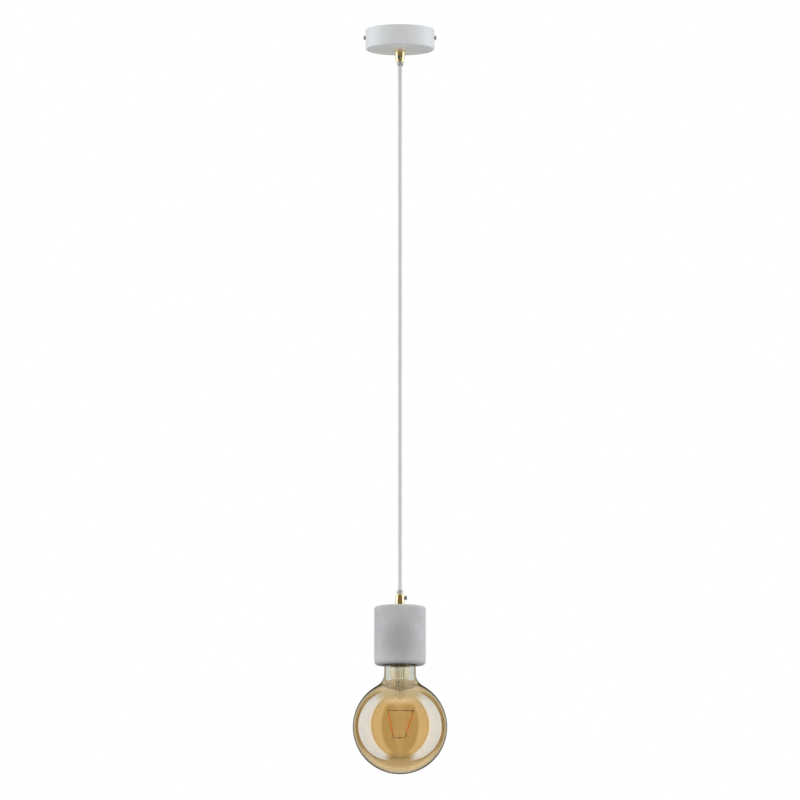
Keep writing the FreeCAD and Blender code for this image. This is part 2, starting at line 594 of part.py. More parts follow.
# --- bulb -----------------------------------------------------------------------------------------
def globe_outline(offset):
    """Outline of the glass from the cap end to the globe's lowest point, moved inward by offset."""
    neck, globe, bend = NECK_R - offset, GLOBE_R - offset, NECK_FILLET_R + offset
    reach = neck + bend
    rise = math.sqrt((globe + bend) ** 2 - reach ** 2)
    centre_z = GLOBE_Z + rise
    share = globe / (globe + bend)
    touch = (reach * share, GLOBE_Z + rise * share)
    half = math.atan2(rise, reach) / 2
    middle = (reach - bend * math.cos(half), centre_z - bend * math.sin(half))
    low = math.radians(-35)
    globe_mid = (globe * math.cos(low), GLOBE_Z + globe * math.sin(low))
    end = 12.6 - offset
    return [(end, -841.8), (end, -845.9 - offset * 0.8),
            (18.4 - offset * 0.62, -848.75 - offset * 0.75, neck, -855.6), (neck, centre_z),
            (*middle, *touch), (*globe_mid, 0, GLOBE_Z - globe)]


def glass_envelope():
    outer, inner = globe_outline(0), globe_outline(GLASS_T)
    full = turned(outer[0], *outer[1:], (0, outer[0][1]))
    hollow = turned(inner[0], *inner[1:], (0, inner[0][1]))
    return full.cut(hollow)


def base_shell():
    """Nickel-plated screw shell: a plain skirt, the rolled thread and a rolled-in top edge."""
    z0, z1 = CAP_THREAD_Z0, CAP_THREAD_Z1
    body = thread_body(THREAD_R, z0, z1).cut(thread_body(THREAD_R - SHEET_T, z0, z1))
    top = thread_body(THREAD_R, z1, z1 + SHEET_T).cut(disc_at(9.4, Vec(0, 0, z1 - 1), 3))
    skirt = washer(CAP_SKIRT_R - SHEET_T, CAP_SKIRT_R, CAP_LOW_Z, z0)
    ring = disc_at(CAP_SKIRT_R, Vec(0, 0, z0 - SHEET_T), SHEET_T)
    ring = ring.cut(disc_at(THREAD_R - SHEET_T, Vec(thread_centre(z0).x, thread_centre(z0).y, z0 - 1), 2))
    return body.multiFuse([top, skirt, ring])


def base_insulator():
    low, top = CAP_THREAD_Z1 + SHEET_T, EYELET_TOP_Z - 1.8
    return turned((1.25, low - 2.0), (9.2, low - 2.0), (9.3, low), (11.6, low), (11.2, low + 0.5),
                  (8.4, top - 0.3, 6.0, top), (1.25, top))


def base_eyelet():
    low = EYELET_TOP_Z - 1.8 + 0.1
    return turned((0, low - 1.5), (1.25 - FIT, low - 1.5), (1.25 - FIT, low), (4.9, low),
                  (4.9, EYELET_TOP_Z - 0.7), (4.5, EYELET_TOP_Z - 0.2, 3.6, EYELET_TOP_Z),
                  (0, EYELET_TOP_Z))


def stem_glass():
    """Thin glass tube that flares out to the neck at its top and closes to a pinch at its foot."""
    wall, flare_z, flare_r = 0.7, -842.4, 11.7
    return turned((STEM_R, STEM_CONE_Z), (2.2, PINCH_TOP), (0.9, PINCH_TOP), (0.9, PINCH_TOP + 1.1),
                  (STEM_R - wall, STEM_CONE_Z + 0.9), (STEM_R - wall, flare_z - 9),
                  (STEM_R + 1.2, flare_z - 3.3, flare_r - 0.4, flare_z), (flare_r, flare_z),
                  (flare_r, flare_z - wall), (STEM_R + 2.0, flare_z - 3.9, STEM_R, flare_z - 9.6))


def exhaust_tube():
    """Thin tube down the middle of the stem, closed off inside the cap."""
    outer, inner, round_z, slope = 2.25, 1.55, -841.5, math.sqrt(0.5)
    return turned((inner, EXHAUST_LOW), (outer, EXHAUST_LOW), (outer, round_z),
                  (outer * slope, round_z + outer * slope, 0, round_z + outer), (0, round_z + inner),
                  (inner * slope, round_z + inner * slope, inner, round_z))


def pinch_bead():
    return turned((0, PINCH_TOP), (2.2, PINCH_TOP), (2.45, (PINCH_TOP + PINCH_LOW) / 2, 2.2, PINCH_LOW),
                  (0, PINCH_LOW))


def lead_wires():
    """Two lead-in wires from the driver board down the stem, closing in on the pinch."""
    left = [(-3.7, 0, BOARD_LOW_Z), (-3.5, 0, GLOBE_Z + 57), (-0.9, 0, GLOBE_Z + 48.5),
            (-0.4, 0, PINCH_TOP)]
    right = [(3.7, 0, BOARD_LOW_Z), (3.9, 0, GLOBE_Z + 56), (3.1, 0, GLOBE_Z + 48.5),
             (0.5, 0, PINCH_TOP + 1.5), (0.45, 0, PINCH_TOP)]
    return Part.makeCompound([tube(0.3, left), tube(0.3, right)])


def support_rod():
    return rod(ROD_R, ROD_FOOT, ROD_HEAD).cut(box((-5, -5, PINCH_LOW), (5, 5, PINCH_LOW + 9)))


def between(a, b, share):
    return tuple(p + (q - p) * share for p, q in zip(a, b))


def cross_wire():
    """Wire across the rod, stiffer in its middle and at its ends, where the filaments hang."""
    left, right = (-17.1, 0, WIRE_Z + 0.7), (18.7, 0, WIRE_Z - 0.2)
    body = rod(0.28, left, right)
    thick = [rod(0.5, between(left, right, a), between(left, right, b))
             for a, b in ((0.0, 0.13), (0.25, 0.75), (0.88, 1.0))]
    body = body.multiFuse(thick)
    core = rod(ROD_R, ROD_FOOT, ROD_HEAD)
    hooks = [rod(0.3, between(left, right, a), top) for a, top in ((0.02, LEFT_TOP), (0.98, RIGHT_TOP))]
    return body.multiFuse(hooks).cut(core)


def filament_pieces():
    bars, ends = [], []
    for top, foot in ((LEFT_TOP, LEFT_FOOT), (RIGHT_TOP, RIGHT_FOOT)):
        bars.append(rod(0.72, between(top, foot, 0.12), between(top, foot, 0.88)))
        ends.append(rod(0.5, between(top, foot, 0.02), between(top, foot, 0.12)))
        ends.append(rod(0.5, between(top, foot, 0.88), foot))
    return {"filaments": Part.makeCompound(bars), "filament_ends": Part.makeCompound(ends)}


def hub_ring():
    """Wire ring on the rod's foot, with a short arm out to each filament's foot."""
    body = Part.makeTorus(1.95, 0.45, Vec(-ROD_LEAN, 0, HUB_Z - 0.55), UP)
    body = body.fuse(rod(1.95, (-ROD_LEAN, 0, HUB_Z - 1.0), (-ROD_LEAN, 0, HUB_Z - 0.1)))
    for foot, start in ((LEFT_FOOT, -ROD_LEAN - 2.0), (RIGHT_FOOT, -ROD_LEAN + 2.0)):
        knee = (foot[0] + (0.5 if foot[0] < 0 else -0.5), 0, HUB_Z - 0.5)
        body = body.fuse(rod(0.26, (start, 0, HUB_Z - 0.55), knee))
        body = body.fuse(rod(0.26, knee, foot))
        body = body.fuse(Part.makeSphere(0.26, Vec(*knee)))
    return body


def driver_pieces():
    """Small board inside the cap that feeds the filaments, with what stands on it."""
    z, face = BOARD_LOW_Z, 0.5
    board = box((-8.5, -face, z), (8.5, face, z + 11.0))
    capacitor = rod(2.4, (-3.5, 3.0, z + 1.0), (-3.5, 3.0, z + 9.0))
    capacitor = capacitor.fuse(box((-4.1, face, z + 8.0), (-2.9, 1.0, z + 9.0)))
    choke = box((1.0, face, z + 3.0), (5.5, 2.6, z + 7.5))
    diode = box((-6.5, -2.2, z + 2.0), (-3.5, -face, z + 3.6))
    chip = box((0.5, -2.4, z + 5.0), (4.5, -face, z + 8.5))
    resistor = rod(0.9, (-6.0, -1.4, z + 8.0), (-1.5, -1.4, z + 8.0))
    return {"driver_board": board,
            "driver_parts": Part.makeCompound([capacitor, choke, diode, chip, resistor])}


# --- all nodes ------------------------------------------------------------------------------------
def main():
    os.makedirs("parts", exist_ok=True)
    canopy_low, canopy_nut_z = -CANOPY_H, -CANOPY_H + CANOPY_WALL + LOCK_WASHER_T
    housing_nut_z = HOUSING_TOP_Z - HOUSING_TOP_WALL - HOUSING_WASHER_T
    nodes = {
        "canopy_cup": canopy_cup(),
        "ceiling_bracket": ceiling_bracket(),
        "side_screw_right": side_screw(1),
        "side_screw_left": side_screw(-1),
        "terminal_block": terminal_block(),
        "terminal_tubes": terminal_tubes(),
        "terminal_screws": terminal_screws(),
        "terminal_block_screw": terminal_block_screw(),
        "earth_screw": earth_screw(),
        "earth_washer": earth_washer(),
        "canopy_grip": hung_from(grip(8.6), CANOPY_SCREW_TURN, canopy_low),
        "canopy_collet": hung_from(collet(), CANOPY_SCREW_TURN, canopy_low),
        "canopy_set_screw": hung_from(set_screw(), CANOPY_SCREW_TURN, canopy_low),
        "canopy_lock_washer": toothed_washer(canopy_nut_z - LOCK_WASHER_T, canopy_nut_z),
        "canopy_lock_nut": nut(canopy_nut_z, canopy_nut_z + NUT_T),
        **canopy_wires(),
        **cord_pieces(),
        "lamp_grip": placed(grip(HOUSING_TOP_Z - HOLDER_TOP_Z + 2.0), 0, 0, HOUSING_TOP_Z),
        "lamp_collet": placed(collet(), 0, 0, HOUSING_TOP_Z),
        "lamp_set_screw": placed(set_screw(), 0, 0, HOUSING_TOP_Z),
        "concrete_housing": concrete_housing(),
        "housing_washer": washer(NIPPLE_R + 0.1, 11.0, housing_nut_z, housing_nut_z + HOUSING_WASHER_T),
        "housing_nut": nut(housing_nut_z - NUT_T, housing_nut_z),
        "holder_cap": holder_cap(),
        "holder_shell": holder_shell(),
        "holder_insert": holder_insert(),
        "holder_thread_sleeve": holder_thread_sleeve(),
        **contact_strips(),
        "holder_terminal_screws": holder_terminal_screws(),
        **holder_wires(),
        "base_eyelet": base_eyelet(),
        "base_shell": base_shell(),
        "base_insulator": base_insulator(),
        "glass_envelope": glass_envelope(),
        "stem_glass": stem_glass(),
        "exhaust_tube": exhaust_tube(),
        "pinch_bead": pinch_bead(),
        "lead_wires": lead_wires(),
        "support_rod": support_rod(),
        "cross_wire": cross_wire(),
        **filament_pieces(),
        "hub_ring": hub_ring(),
        **driver_pieces(),
    }
    for name, shape in nodes.items():
        saved(name, shape)


main()
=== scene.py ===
"""Looks of the pendant ceiling light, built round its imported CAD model. Metres, +Z up, ceiling at z = 0."""

import json
import math

import bpy
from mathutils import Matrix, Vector


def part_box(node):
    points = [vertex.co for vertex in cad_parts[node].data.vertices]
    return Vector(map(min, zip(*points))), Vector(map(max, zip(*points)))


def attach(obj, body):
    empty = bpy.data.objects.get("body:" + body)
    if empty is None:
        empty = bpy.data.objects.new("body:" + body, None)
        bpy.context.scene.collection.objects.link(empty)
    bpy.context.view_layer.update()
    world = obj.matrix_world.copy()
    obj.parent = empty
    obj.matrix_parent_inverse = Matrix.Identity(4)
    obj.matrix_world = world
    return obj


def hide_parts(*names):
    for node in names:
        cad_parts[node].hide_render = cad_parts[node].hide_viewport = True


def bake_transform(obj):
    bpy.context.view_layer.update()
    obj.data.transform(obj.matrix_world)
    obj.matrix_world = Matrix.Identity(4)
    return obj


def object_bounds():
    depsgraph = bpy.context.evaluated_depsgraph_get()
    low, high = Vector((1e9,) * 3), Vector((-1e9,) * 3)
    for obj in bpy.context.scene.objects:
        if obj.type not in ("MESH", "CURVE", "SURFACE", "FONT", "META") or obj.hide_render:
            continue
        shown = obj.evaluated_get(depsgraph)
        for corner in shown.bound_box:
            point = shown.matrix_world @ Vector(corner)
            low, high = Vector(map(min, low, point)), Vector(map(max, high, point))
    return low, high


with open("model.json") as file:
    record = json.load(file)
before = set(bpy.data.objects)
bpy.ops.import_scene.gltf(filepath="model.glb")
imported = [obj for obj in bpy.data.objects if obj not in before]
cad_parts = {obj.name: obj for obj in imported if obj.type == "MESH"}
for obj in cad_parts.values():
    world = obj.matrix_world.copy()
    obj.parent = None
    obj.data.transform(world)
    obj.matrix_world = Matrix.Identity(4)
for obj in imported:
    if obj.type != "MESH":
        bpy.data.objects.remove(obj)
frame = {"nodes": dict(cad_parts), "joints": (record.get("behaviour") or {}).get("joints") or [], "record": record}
CAD_LOW, CAD_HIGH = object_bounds()
NODES = frame["nodes"]
PIVOT_Z = {j["name"]: j["pos_m"][2] for j in frame["joints"] if "pos_m" in j}


# --- node graphs ----------------------------------------------------------------------------------
MIX_INPUTS = (0, 6, 7)         # factor, A and B of a mix node that is set to colour
MIX_OUTPUT = 2


class Graph:
    """One material's node tree, with short ways to add nodes and join them."""

    def __init__(self, tree):
        self.tree = tree
        tree.nodes.clear()

    def add(self, kind, values=(), **settings):
        """Adds a node. values sets its inputs by name or number: a socket is joined, anything else is set."""
        node = self.tree.nodes.new(kind)
        for key, value in settings.items():
            setattr(node, key, value)
        for key, value in dict(values).items():
            if isinstance(value, bpy.types.NodeSocket):
                self.tree.links.new(value, node.inputs[key])
            else:
                node.inputs[key].default_value = value
        return node

    def place(self):
        """The point on the object, in metres in the row frame at rest."""
        return self.add("ShaderNodeTexCoord").outputs["Object"]

    def stretched(self, scale):
        return self.add("ShaderNodeMapping", {"Vector": self.place(), "Scale": scale}).outputs[0]

    def noise(self, scale, detail, roughness=0.5, vector=None):
        values = {"Scale": scale, "Detail": detail, "Roughness": roughness}
        values["Vector"] = vector if vector else self.place()
        return self.add("ShaderNodeTexNoise", values).outputs["Fac"]

    def math(self, operation, a, b=0.0, c=0.0):
        return self.add("ShaderNodeMath", {0: a, 1: b, 2: c}, operation=operation).outputs[0]

    def span(self, value, low, high, to_low=0.0, to_high=1.0, smooth=False):
        kind = "SMOOTHSTEP" if smooth else "LINEAR"
        return self.add("ShaderNodeMapRange", {0: value, 1: low, 2: high, 3: to_low, 4: to_high},
                        interpolation_type=kind).outputs[0]

    def mix(self, factor, a, b, blend="MIX"):
        node = self.add("ShaderNodeMix", data_type="RGBA", blend_type=blend)
        for index, value in zip(MIX_INPUTS, (factor, a, b)):
            if isinstance(value, bpy.types.NodeSocket):
                self.tree.links.new(value, node.inputs[index])
            else:
                node.inputs[index].default_value = value
        return node.outputs[MIX_OUTPUT]

    def bump(self, height, distance, strength):
        return self.add("ShaderNodeBump", {"Height": height, "Distance": distance,
                                           "Strength": strength}).outputs[0]

    def finish(self, values):
        """Ends the tree in one Principled shader with these inputs."""
        shader = self.add("ShaderNodeBsdfPrincipled", values)
        self.add("ShaderNodeOutputMaterial", {"Surface": shader.outputs[0]})


def rgb(r, g, b):
    return (r, g, b, 1.0)


def new_material(name):
    material = bpy.data.materials.new(name)
    material.use_nodes = True
    return material, Graph(material.node_tree)


# --- materials ------------------------------------------------------------------------------------
TURNING_MARKS = 0.00001        # depth of the turning marks on metal
PAINTED_SHADE_HEIGHT = 0.030           # middle of the concrete's painted shade, a darker patch on its front, above the housing's lower end
PAINTED_SHADE_CORE = 0.006             # the patch is darkest within this distance of its middle
PAINTED_SHADE_REACH = 0.036            # and has faded out at this one
PIT_RARITY = 0.92              # share of the concrete's cells that have no pit
BRAID_STRANDS = 8              # strand pairs each way round the cord
BRAID_TWIST = 1350.0           # radians of braid pattern along each metre of cord
STRIPE_RATE_X = 380.0          # radians of the earth wire's stripe pattern over each metre
STRIPE_RATE_Y = 2400.0
COATING_START = 0.012          # below the glass's top, where its gold coating begins
COATING_FULL = 0.072           # below the glass's top, where the coating is full
CHIP_RATE = 5200.0             # radians of chip pattern along each metre of filament


def powder_coat():
    """Off-white powder coat with its faint orange-peel surface."""
    material, g = new_material("canopy_paint")
    tone = g.mix(g.noise(22, 3), rgb(0.73, 0.745, 0.755), rgb(0.78, 0.795, 0.80))
    peel = g.math("ADD", g.noise(1300, 2), g.noise(2600, 2))
    g.finish({"Base Color": tone, "Roughness": g.span(g.noise(60, 3), 0.3, 0.7, 0.40, 0.50),
              "Normal": g.bump(peel, 0.00006, 0.6)})
    return material


def turned_metal(name, light, dark, rough):
    """Polished or satin metal with fine turning marks round Z, a little tarnish and light wear."""
    material, g = new_material(name)
    rings = g.noise(1.0, 3, 0.6, g.stretched((90, 90, 5200)))
    cloud = g.noise(160, 4, 0.6)
    scratches = g.noise(1.0, 2, 0.7, g.stretched((5200, 700, 300)))
    tone = g.mix(g.span(cloud, 0.35, 0.7), light, dark)
    smear = g.math("ADD", g.math("MULTIPLY", rings, 0.5), g.math("MULTIPLY", scratches, 0.5))
    g.finish({"Base Color": tone, "Metallic": 1.0,
              "Roughness": g.span(smear, 0.3, 0.7, rough[0], rough[1]),
              "Normal": g.bump(rings, TURNING_MARKS, 0.5)})
    return material


def concrete():
    """Smooth cast concrete: cloudy tone, pale bloom, painted shade as a darker patch in front, fine sand and a few
    pits with painted shade in them.
    """
    material, g = new_material("concrete")
    wide = g.noise(17, 4, 0.55)
    cloud = g.noise(60, 6, 0.62)
    sand = g.noise(900, 4, 0.7)
    bloom = g.noise(34, 5, 0.7, g.stretched((1.0, 1.0, 0.45)))
    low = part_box("concrete_housing")[0]
    painted_shade_distance = g.add("ShaderNodeVectorMath", {0: g.place(), 1: (0.0, low.y, low.z + PAINTED_SHADE_HEIGHT)},
                  operation="DISTANCE").outputs["Value"]
    tone = g.mix(g.span(wide, 0.34, 0.66, smooth=True), rgb(0.49, 0.492, 0.50), rgb(0.60, 0.60, 0.612))
    tone = g.mix(g.span(cloud, 0.38, 0.68, 0.0, 0.22), tone, rgb(0.42, 0.422, 0.43))
    tone = g.mix(g.span(bloom, 0.52, 0.72, 0.0, 0.5, smooth=True), tone, rgb(0.67, 0.67, 0.68))
    # painted shade: the middle of the front is darkened where the studio light falls less
    painted_front_shade = g.span(painted_shade_distance, PAINTED_SHADE_CORE, PAINTED_SHADE_REACH, 0.7, 0.0, smooth=True)
    tone = g.mix(painted_front_shade, tone, rgb(0.41, 0.412, 0.42))
    tone = g.mix(g.span(sand, 0.3, 0.7, 0.0, 0.11), tone, rgb(0.34, 0.34, 0.345))
    cells = g.add("ShaderNodeTexVoronoi", {"Vector": g.place(), "Scale": 210, "Randomness": 1.0})
    chance = g.add("ShaderNodeSeparateColor", {"Color": cells.outputs["Color"]}).outputs[0]
    rare = g.math("GREATER_THAN", chance, PIT_RARITY)
    pit_depth_and_shade = g.math("MULTIPLY", g.span(cells.outputs["Distance"], 0.10, 0.17, 1.0, 0.0), rare)
    # painted shade: each pit's hollow is darkened in colour, as well as sunk by the bump below
    tone = g.mix(g.math("MULTIPLY", pit_depth_and_shade, 0.75), tone, rgb(0.13, 0.13, 0.13))
    relief = g.math("ADD", g.math("MULTIPLY", sand, 0.5), g.math("MULTIPLY", cloud, 0.9))
    relief = g.math("SUBTRACT", relief, g.math("MULTIPLY", pit_depth_and_shade, 2.2))
    g.finish({"Base Color": tone, "Roughness": g.span(cloud, 0.3, 0.7, 0.62, 0.82),
              "Specular IOR Level": 0.35, "Normal": g.bump(relief, 0.00012, 0.8)})
    return material


def textile():
    """Fine round braid of white thread: two families of slanted strands that pass over each other, with painted
    shade in the valleys between them.
    """
    material, g = new_material("cord_textile")
    split = g.add("ShaderNodeSeparateXYZ", {0: g.place()})
    turn = g.math("ARCTAN2", split.outputs["Y"], split.outputs["X"])
    along = g.math("MULTIPLY", split.outputs["Z"], BRAID_TWIST)
    strands = []
    for sign in (1, -1):
        phase = g.math("MULTIPLY_ADD", turn, BRAID_STRANDS * sign, along)
        strands.append(g.math("ABSOLUTE", g.math("SINE", phase)))
    over = g.math("MULTIPLY", g.math("SINE", g.math("MULTIPLY", turn, BRAID_STRANDS)),
                  g.math("SINE", along))
    weave = g.mix(g.span(over, -0.15, 0.15), strands[0], strands[1])
    fibre = g.noise(1.0, 3, 0.7, g.stretched((3500, 3500, 900)))
    # painted shade: the valleys between strands are darker in colour; the fibre noise below is the thread's own
    # tone
    valley_shade_and_fibre_tone = g.mix(g.span(weave, 0.1, 0.8), rgb(0.66, 0.66, 0.68), rgb(0.80, 0.80, 0.81))
    valley_shade_and_fibre_tone = g.mix(g.span(fibre, 0.35, 0.75, 0.0, 0.25), valley_shade_and_fibre_tone, rgb(0.66, 0.66, 0.68))
    height = g.math("ADD", weave, g.math("MULTIPLY", fibre, 0.4))
    g.finish({"Base Color": valley_shade_and_fibre_tone, "Roughness": 0.82, "Sheen Weight": 0.35, "Sheen Roughness": 0.4,
              "Specular IOR Level": 0.2, "Normal": g.bump(height, 0.00007, 0.9)})
    return material


def moulded(name, light, dark, rough, grain=0.00002, extra=()):
    """Moulded plastic, ceramic or cable insulation with a soft tone change and fine surface grain."""
    material, g = new_material(name)
    tone = g.mix(g.noise(90, 3), light, dark)
    g.finish({"Base Color": tone, "Roughness": g.span(g.noise(400, 3), 0.3, 0.7, rough[0], rough[1]),
              "Normal": g.bump(g.noise(3000, 2), grain, 0.7), **dict(extra)})
    return material


def earth_insulation():
    """Green insulation with a yellow stripe."""
    material, g = new_material("wire_earth")
    split = g.add("ShaderNodeSeparateXYZ", {0: g.place()})
    phase = g.math("MULTIPLY_ADD", split.outputs["Y"], STRIPE_RATE_Y,
                   g.math("MULTIPLY", split.outputs["X"], STRIPE_RATE_X))
    stripe = g.span(g.math("SINE", phase), -0.1, 0.1)
    tone = g.mix(stripe, rgb(0.05, 0.24, 0.05), rgb(0.72, 0.62, 0.05))
    g.finish({"Base Color": tone, "Roughness": 0.4, "Normal": g.bump(g.noise(3000, 2), 0.00002, 0.6)})
    return material


def edge_share(g, start, end):
    """0 where a surface faces the eye to 1 where it turns away. Glass is deeper at its edges, and the darkening
    this drives is partly painted shade for the dark outline glass shows.
    """
    facing = g.add("ShaderNodeLayerWeight", {"Blend": 0.5}).outputs["Facing"]
    return g.span(facing, start, end, smooth=True)


def amber_glass():
    """Clear glass with a gold vapour coating that thins out towards the cap. The coating is what makes it
    gleam. A band on the globe's flanks and the line of its rim are painted shade, darkened by how far they turn
    from the eye."""
    material, g = new_material("amber_glass")
    height = g.add("ShaderNodeSeparateXYZ", {0: g.place()}).outputs["Z"]
    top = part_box("glass_envelope")[1].z
    coated = g.span(height, top - COATING_START, top - COATING_FULL, smooth=True)
    cloud = g.noise(14, 3, 0.5)
    gold = g.mix(g.span(cloud, 0.35, 0.65), rgb(0.78, 0.592, 0.312), rgb(0.835, 0.645, 0.356))
    tone = g.mix(coated, rgb(0.83, 0.80, 0.69), gold)
    # painted shade: a band on the globe's flanks is darkened by the angle it turns from the eye
    painted_flank_shade = g.math("SUBTRACT", edge_share(g, 0.16, 0.28), edge_share(g, 0.45, 0.56))
    tone = g.mix(painted_flank_shade, tone, rgb(0.58, 0.58, 0.58), "MULTIPLY")
    # painted shade: the line of the rim is darkened nearly to black
    tone = g.mix(edge_share(g, 0.74, 0.92), tone, rgb(0.10, 0.07, 0.035))
    g.finish({"Base Color": tone, "Roughness": 0.0, "IOR": 1.5, "Transmission Weight": 1.0,
              "Coat Weight": coated, "Coat IOR": 1.75, "Coat Roughness": 0.015})
    return material


def clear(name, tint, edge_depth_and_shade, rough, ior=1.5):
    """Clear glass or plastic, darker towards its edges partly as painted shade, with faint draw lines in its
    surface.
    """
    material, g = new_material(name)
    lines = g.noise(1.0, 2, 0.6, g.stretched((900, 900, 60)))
    # painted shade in part: the colour darkens towards the edges for the dark outline glass shows
    tone = g.mix(edge_share(g, 0.45, 0.85), tint, edge_depth_and_shade)
    g.finish({"Base Color": tone, "Roughness": rough, "IOR": ior, "Transmission Weight": 1.0,
              "Normal": g.bump(lines, 0.00001, 0.4)})
    return material


def phosphor():
    """Orange phosphor gel over a row of tiny chips, with the bulb unlit; a faint painted glow brightens it."""
    material, g = new_material("filament")
    height = g.add("ShaderNodeSeparateXYZ", {0: g.place()}).outputs["Z"]
    chips = g.span(g.math("SINE", g.math("MULTIPLY", height, CHIP_RATE)), 0.2, 0.9)
    tone = g.mix(g.noise(700, 3), rgb(0.78, 0.17, 0.008), rgb(0.88, 0.26, 0.015))
    tone = g.mix(g.math("MULTIPLY", chips, 0.3), tone, rgb(1.0, 0.42, 0.06))
    # painted glow: the unlit phosphor is given a faint emission
    g.finish({"Base Color": tone, "Roughness": 0.45, "Emission Color": tone, "Emission Strength": 0.65,
              "Normal": g.bump(chips, 0.00004, 0.6)})
    return material


def board_laminate():
    material, g = new_material("circuit_board")
    weave = g.add("ShaderNodeTexBrick", {"Vector": g.place(), "Scale": 420.0})
    tone = g.mix(g.math("MULTIPLY", weave.outputs["Fac"], 0.3), rgb(0.03, 0.16, 0.07), rgb(0.10, 0.28, 0.12))
    g.finish({"Base Color": tone, "Roughness": 0.4, "Normal": g.bump(g.noise(2000, 2), 0.00002, 0.5)})
    return material


MATERIALS = {
    "canopy_paint": powder_coat(),
    "brass": turned_metal("brass", rgb(0.92, 0.74, 0.42), rgb(0.84, 0.63, 0.31), (0.10, 0.2)),
    "zinc_steel": turned_metal("zinc_steel", rgb(0.66, 0.67, 0.69), rgb(0.55, 0.56, 0.58), (0.25, 0.42)),
    "screw_steel": turned_metal("screw_steel", rgb(0.42, 0.42, 0.43), rgb(0.32, 0.32, 0.33), (0.22, 0.38)),
    "contact_brass": turned_metal("contact_brass", rgb(0.82, 0.64, 0.34), rgb(0.7, 0.52, 0.26), (0.2, 0.35)),
    "nickel": turned_metal("nickel", rgb(0.74, 0.73, 0.70), rgb(0.63, 0.62, 0.59), (0.16, 0.3)),
    "lead_wire": turned_metal("lead_wire", rgb(0.13, 0.09, 0.06), rgb(0.08, 0.05, 0.03), (0.3, 0.45)),
    "concrete": concrete(),
    "cord_textile": textile(),
    "terminal_nylon": moulded("terminal_nylon", rgb(0.80, 0.79, 0.74), rgb(0.74, 0.73, 0.68), (0.38, 0.5),
                              extra={"Subsurface Weight": 0.15, "Subsurface Scale": 0.002}),
    "wire_live": moulded("wire_live", rgb(0.16, 0.06, 0.025), rgb(0.12, 0.045, 0.02), (0.3, 0.42)),
    "wire_neutral": moulded("wire_neutral", rgb(0.02, 0.09, 0.36), rgb(0.015, 0.07, 0.3), (0.3, 0.42)),
    "wire_earth": earth_insulation(),
    "holder_plastic": moulded("holder_plastic", rgb(0.022, 0.022, 0.023), rgb(0.03, 0.03, 0.03),
                              (0.32, 0.46), 0.00004),
    "ceramic": moulded("ceramic", rgb(0.78, 0.75, 0.68), rgb(0.72, 0.69, 0.62), (0.5, 0.65), 0.00004),
    "black_glass": moulded("black_glass", rgb(0.01, 0.01, 0.012), rgb(0.014, 0.013, 0.014), (0.06, 0.14)),
    "circuit_parts": moulded("circuit_parts", rgb(0.03, 0.03, 0.032), rgb(0.05, 0.05, 0.05), (0.4, 0.6)),
    "circuit_board": board_laminate(),
    "amber_glass": amber_glass(),
    "clear_glass": clear("clear_glass", rgb(0.99, 0.99, 0.98), rgb(0.24, 0.20, 0.15), 0.0),
    "clear_plastic": clear("clear_plastic", rgb(0.96, 0.97, 0.97), rgb(0.66, 0.69, 0.70), 0.08, 1.49),
    "filament": phosphor(),
}


def dress(obj, slot):
    obj.data.materials.clear()
    obj.data.materials.append(MATERIALS[slot])


def dress_cad_nodes():
    for part in frame["record"]["subparts"]:
        dress(NODES[part["node"]], part["material_slot"])


# --- meshes ---------------------------------------------------------------------------------------
def piece(name, points, faces, slot):
    """A mesh object in the row frame, smooth but for its flat end caps, finished as the record's slot."""
    mesh = bpy.data.meshes.new(name)
    mesh.from_pydata(points, [], faces)
    mesh.update()
    for face in mesh.polygons:
        face.use_smooth = len(face.vertices) <= 4
    obj = bpy.data.objects.new(name, mesh)
    bpy.context.scene.collection.objects.link(obj)
    dress(obj, slot)
    return obj


def ring_faces(rings, around):
    """Quads between rings of points that follow each other."""
    faces = []
    for i in range(rings - 1):
        a, b = i * around, (i + 1) * around
        for j in range(around):
            k = (j + 1) % around
            faces.append((a + j, a + k, b + k, b + j))
    return faces


def arc(centre, radius, start, end, steps):
    """Points of an arc in the (r, z) plane, angles in degrees."""
    out = []
    for i in range(steps + 1):
        angle = math.radians(start + (end - start) * i / steps)
        out.append((centre[0] + radius * math.cos(angle), centre[1] + radius * math.sin(angle)))
    return out


GLASS_T = 0.0008               # wall of the glass
NECK_R = 0.02085
NECK_FILLET_R = 0.0195         # where the neck runs out into the globe
GLASS_END_R = 0.0126           # of the glass inside the cap
END_RING = 0.002               # below the glass's top, an extra ring that keeps its end straight
SHOULDER_TOP = 0.0041          # below the glass's top, where the glass starts to widen
SHOULDER_FOOT = 0.0138         # below the glass's top, where it has the neck's radius
SHOULDER_INSET = 0.8           # the inside starts to widen lower by this share of the wall
SHOULDER_RING = 0.0006         # an extra ring this far above the shoulder
SHOULDER_POWER = 1.25          # 1 would make the shoulder a quarter of an ellipse
SHOULDER_STEPS = 14
GLASS_SEGMENTS = 160


